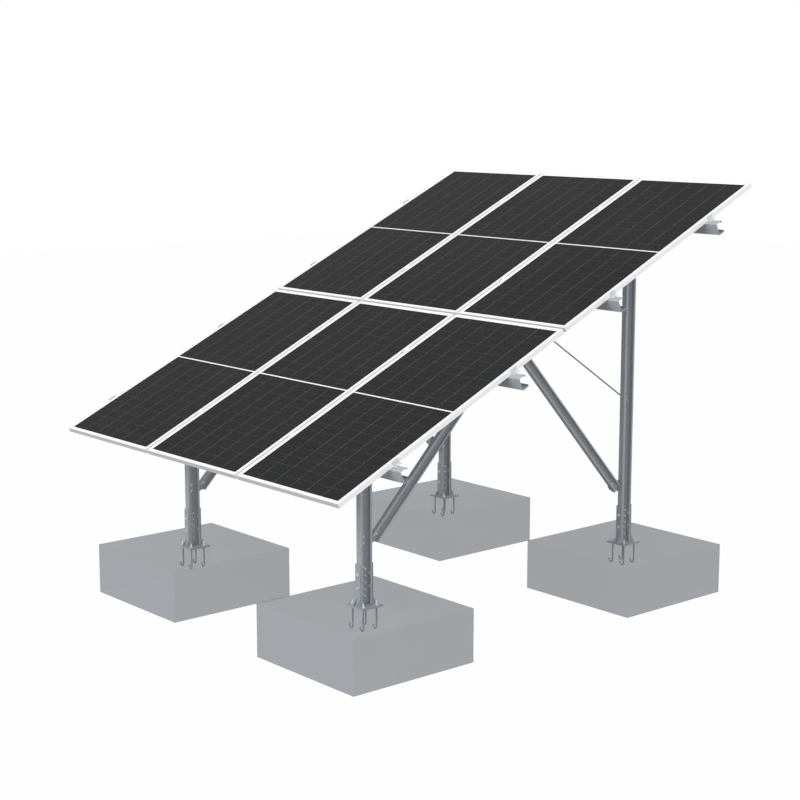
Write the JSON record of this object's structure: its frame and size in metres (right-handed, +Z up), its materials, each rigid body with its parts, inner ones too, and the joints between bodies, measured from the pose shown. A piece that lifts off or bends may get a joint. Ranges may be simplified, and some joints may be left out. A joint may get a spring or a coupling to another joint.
{
  "type": "solar panel ground mount",
  "caption": "Sloping table of framed solar modules on lipped steel rails, rafters and braced posts, with footings cast round hooked anchor bolts.",
  "frame": {"origin": "middle of the whole part's plan, on the footings' undersides", "axes": "+X to the right along the rails, seen from the table's low side; +Y level, towards the high side; +Z up"},
  "size_m": [3.66, 4.162, 3.3069],
  "materials": {
    "concrete": "smooth cast concrete, drawn see-through",
    "galvanised_steel": "dull galvanised sheet",
    "anchor_steel": "plain rod",
    "plated_bolts": "bright plated",
    "frame_aluminium": "pale anodised",
    "solar_glass": "dark cells behind clear glass",
    "black_plastic": "black moulded"
  },
  "bodies": {
    "root": {"footing_front_left": "concrete", "base_shoe_front_left": "galvanised_steel", "post_front_left": "galvanised_steel", "brace_bracket_front_left": "galvanised_steel", "brace_front_left": "galvanised_steel", "footing_front_right": "concrete", "base_shoe_front_right": "galvanised_steel", "post_front_right": "galvanised_steel", "brace_bracket_front_right": "galvanised_steel", "brace_front_right": "galvanised_steel", "footing_rear_left": "concrete", "base_shoe_rear_left": "galvanised_steel", "post_rear_left": "galvanised_steel", "brace_bracket_rear_left": "galvanised_steel", "brace_rear_left": "galvanised_steel", "footing_rear_right": "concrete", "base_shoe_rear_right": "galvanised_steel", "post_rear_right": "galvanised_steel", "brace_bracket_rear_right": "galvanised_steel", "brace_rear_right": "galvanised_steel", "rafter_left": "galvanised_steel", "tie_rod_left": "galvanised_steel", "rafter_right": "galvanised_steel", "tie_rod_right": "galvanised_steel", "rail_1": "galvanised_steel", "rail_2": "galvanised_steel", "rail_3": "galvanised_steel", "rail_4": "galvanised_steel", "module_frame_1": "frame_aluminium", "laminate_1": "solar_glass", "module_frame_2": "frame_aluminium", "laminate_2": "solar_glass", "module_frame_3": "frame_aluminium", "laminate_3": "solar_glass", "module_frame_4": "frame_aluminium", "laminate_4": "solar_glass", "module_frame_5": "frame_aluminium", "laminate_5": "solar_glass", "module_frame_6": "frame_aluminium", "laminate_6": "solar_glass", "anchor_bolts": "anchor_steel", "anchor_nuts": "plated_bolts", "shoe_bolts": "plated_bolts", "frame_bolts": "plated_bolts", "cleat_bolts": "plated_bolts", "clamp_bolts": "plated_bolts", "tie_nuts": "plated_bolts", "rail_cleats": "galvanised_steel", "end_clamps": "frame_aluminium", "mid_clamps": "frame_aluminium", "corner_keys": "frame_aluminium", "junction_boxes": "black_plastic"}
  },
  "joints": []
}
